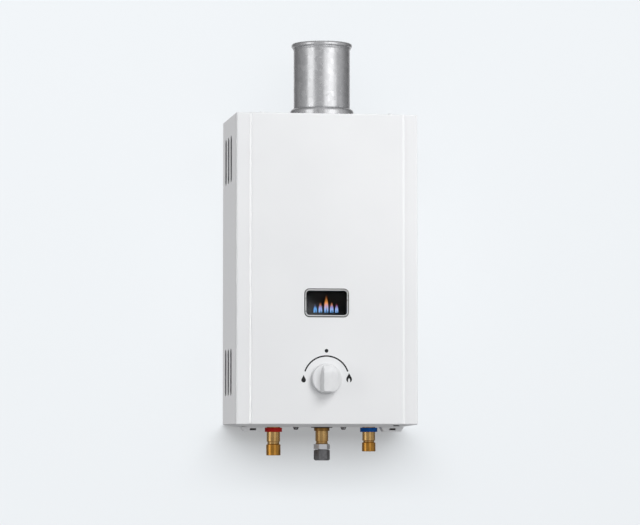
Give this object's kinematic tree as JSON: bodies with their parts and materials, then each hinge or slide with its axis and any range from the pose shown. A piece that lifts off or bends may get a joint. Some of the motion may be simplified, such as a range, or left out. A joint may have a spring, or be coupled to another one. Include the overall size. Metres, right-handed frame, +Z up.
{
  "type": "gas water heater",
  "caption": "Wall-hung instantaneous gas water heater in a white folded casing, with a round flue collar on top, a sight window, a turn knob and pipe ends below.",
  "frame": {"origin": "on the wall plane, at the centre of the four wall slots", "axes": "+X to the right as seen from the front, +Y into the wall, +Z up along the flue"},
  "size_m": [0.29, 0.1931, 0.6655],
  "materials": {
    "white_enamel": "smooth white baked enamel",
    "galvanised": "galvanised sheet steel",
    "steel": "plain sheet steel",
    "dark_screws": "blackened steel",
    "copper": "bare copper",
    "brass": "turned brass",
    "valve_casting": "die-cast alloy",
    "nickel_steel": "plated steel",
    "dark_steel": "dark phosphated steel",
    "red_plastic": "moulded red plastic",
    "blue_plastic": "moulded blue plastic",
    "knob_plastic": "moulded white plastic",
    "black_plastic": "moulded black plastic",
    "cell_sleeve": "plain printed steel sleeve without words",
    "bezel_metal": "satin stainless frame",
    "rubber": "soft rubber",
    "sight_glass": "clear heat-proof glass",
    "ceramic": "glazed ceramic rod"
  },
  "bodies": {
    "heater": {"front_cover": "white_enamel", "bottom_pan": "white_enamel", "cover_screws": "dark_screws", "bottom_screws": "dark_screws", "back_plate": "galvanised", "top_plate": "galvanised", "flue_collar": "galvanised", "flue_hood": "galvanised", "draught_baffle": "galvanised", "combustion_chamber": "copper", "hx_fins": "copper", "hx_tubes": "copper", "hx_sleeves": "brass", "chamber_brackets": "galvanised", "burner_frame": "steel", "burner_bars": "steel", "gas_manifold": "steel", "injectors": "brass", "gas_feed_pipe": "copper", "gas_valve_body": "valve_casting", "valve_seat": "brass", "valve_spacer": "valve_casting", "valve_bracket": "galvanised", "plug_cap": "steel", "gas_valve_spring": "steel", "water_valve_body": "brass", "diaphragm": "rubber", "water_valve_cover": "brass", "water_valve_screws": "steel", "microswitch": "black_plastic", "hot_outlet_fitting": "brass", "cold_inlet_fitting": "brass", "hot_ring": "red_plastic", "cold_ring": "blue_plastic", "pipe_locknuts": "brass", "gas_inlet_fitting": "brass", "gas_adapter": "nickel_steel", "cold_riser": "copper", "hot_pipe": "copper", "igniter_module": "black_plastic", "ignition_lead": "rubber", "ignition_electrode": "ceramic", "flame_sensor": "ceramic", "overheat_thermostat": "black_plastic", "flue_thermostat": "black_plastic", "battery_box": "black_plastic", "batteries": "cell_sleeve", "window_bezel": "bezel_metal", "window_gasket": "rubber", "window_glass": "sight_glass", "window_clamp": "steel"},
    "knob": {"control_knob": "knob_plastic", "knob_spindle": "steel", "gas_plug": "brass"},
    "valve_rod": {"push_rod": "steel", "gas_valve_disc": "rubber", "diaphragm_plate": "steel"},
    "gas_nut": {"gas_union_nut": "dark_steel"},
    "battery_flap": {"battery_door": "knob_plastic"}
  },
  "joints": [
    {"name": "knob_turn", "type": "hinge", "parent": "heater", "child": "knob", "pos_m": [-0.0018, -0.173, -0.174], "axis": [0, 1, 0], "range_deg": [-90, 90]},
    {"name": "valve_rod_slide", "type": "slide", "parent": "heater", "child": "valve_rod", "axis": [-1, 0, 0], "range_m": [0, 0.004], "stiffness_N_per_m": 800, "springref_m": -0.004, "deforming": ["gas_valve_spring", "diaphragm"]},
    {"name": "gas_nut_swivel", "type": "hinge", "parent": "heater", "child": "gas_nut", "pos_m": [0, -0.113, -0.29], "axis": [0, 0, 1], "continuous": true},
    {"name": "battery_door_hinge", "type": "hinge", "parent": "heater", "child": "battery_flap", "pos_m": [0, -0.0164, -0.2464], "axis": [1, 0, 0], "range_deg": [0, 100]}
  ]
}
